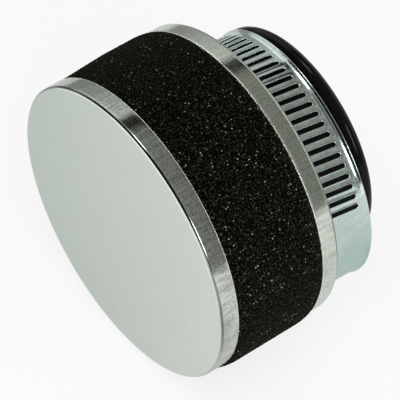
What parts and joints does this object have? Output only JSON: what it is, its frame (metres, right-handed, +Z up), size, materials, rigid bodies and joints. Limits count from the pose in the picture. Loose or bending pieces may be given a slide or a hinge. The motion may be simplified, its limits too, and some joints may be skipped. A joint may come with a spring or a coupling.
{
  "type": "clamp-on foam air filter",
  "caption": "Round clamp-on air filter: foam sleeve between pressed steel end caps, perforated steel core, rubber neck with rounded lip and a loose worm-drive hose clamp.",
  "frame": {"origin": "centre of the rubber neck's mouth, on the axis of its bore", "axes": "+Y along the neck and out of its mouth, the way the intake stub leaves; -Y toward the closed front cap; +Z up, with the axis level as the filter is fitted; +X to the right as seen from in front of the closed cap"},
  "size_m": [0.087, 0.0602, 0.087],
  "materials": {
    "cap_steel": "bright plated sheet steel, smooth with a faint rolling grain",
    "foam": "open-cell polyurethane foam, matt black with fine pores",
    "core_steel": "dull plated perforated sheet",
    "rubber": "moulded black rubber with a soft gloss",
    "clamp_steel": "bright zinc plate with a faint blue-green tint",
    "screw_steel": "zinc plated, turned and rolled"
  },
  "bodies": {
    "filter": {"front_cap": "cap_steel", "foam_sleeve": "foam", "perforated_core": "core_steel", "rear_cap": "cap_steel", "rubber_neck": "rubber", "clamp_band": "clamp_steel", "clamp_saddle": "clamp_steel", "clamp_housing": "clamp_steel"},
    "screw": {"clamp_screw": "screw_steel"}
  },
  "joints": [
    {"name": "clamp_screw_turn", "type": "hinge", "parent": "filter", "child": "screw", "pos_m": [-0.03392, -0.00822, -0.02426], "axis": [-0.5031, -0.0032, 0.8642], "continuous": true}
  ]
}
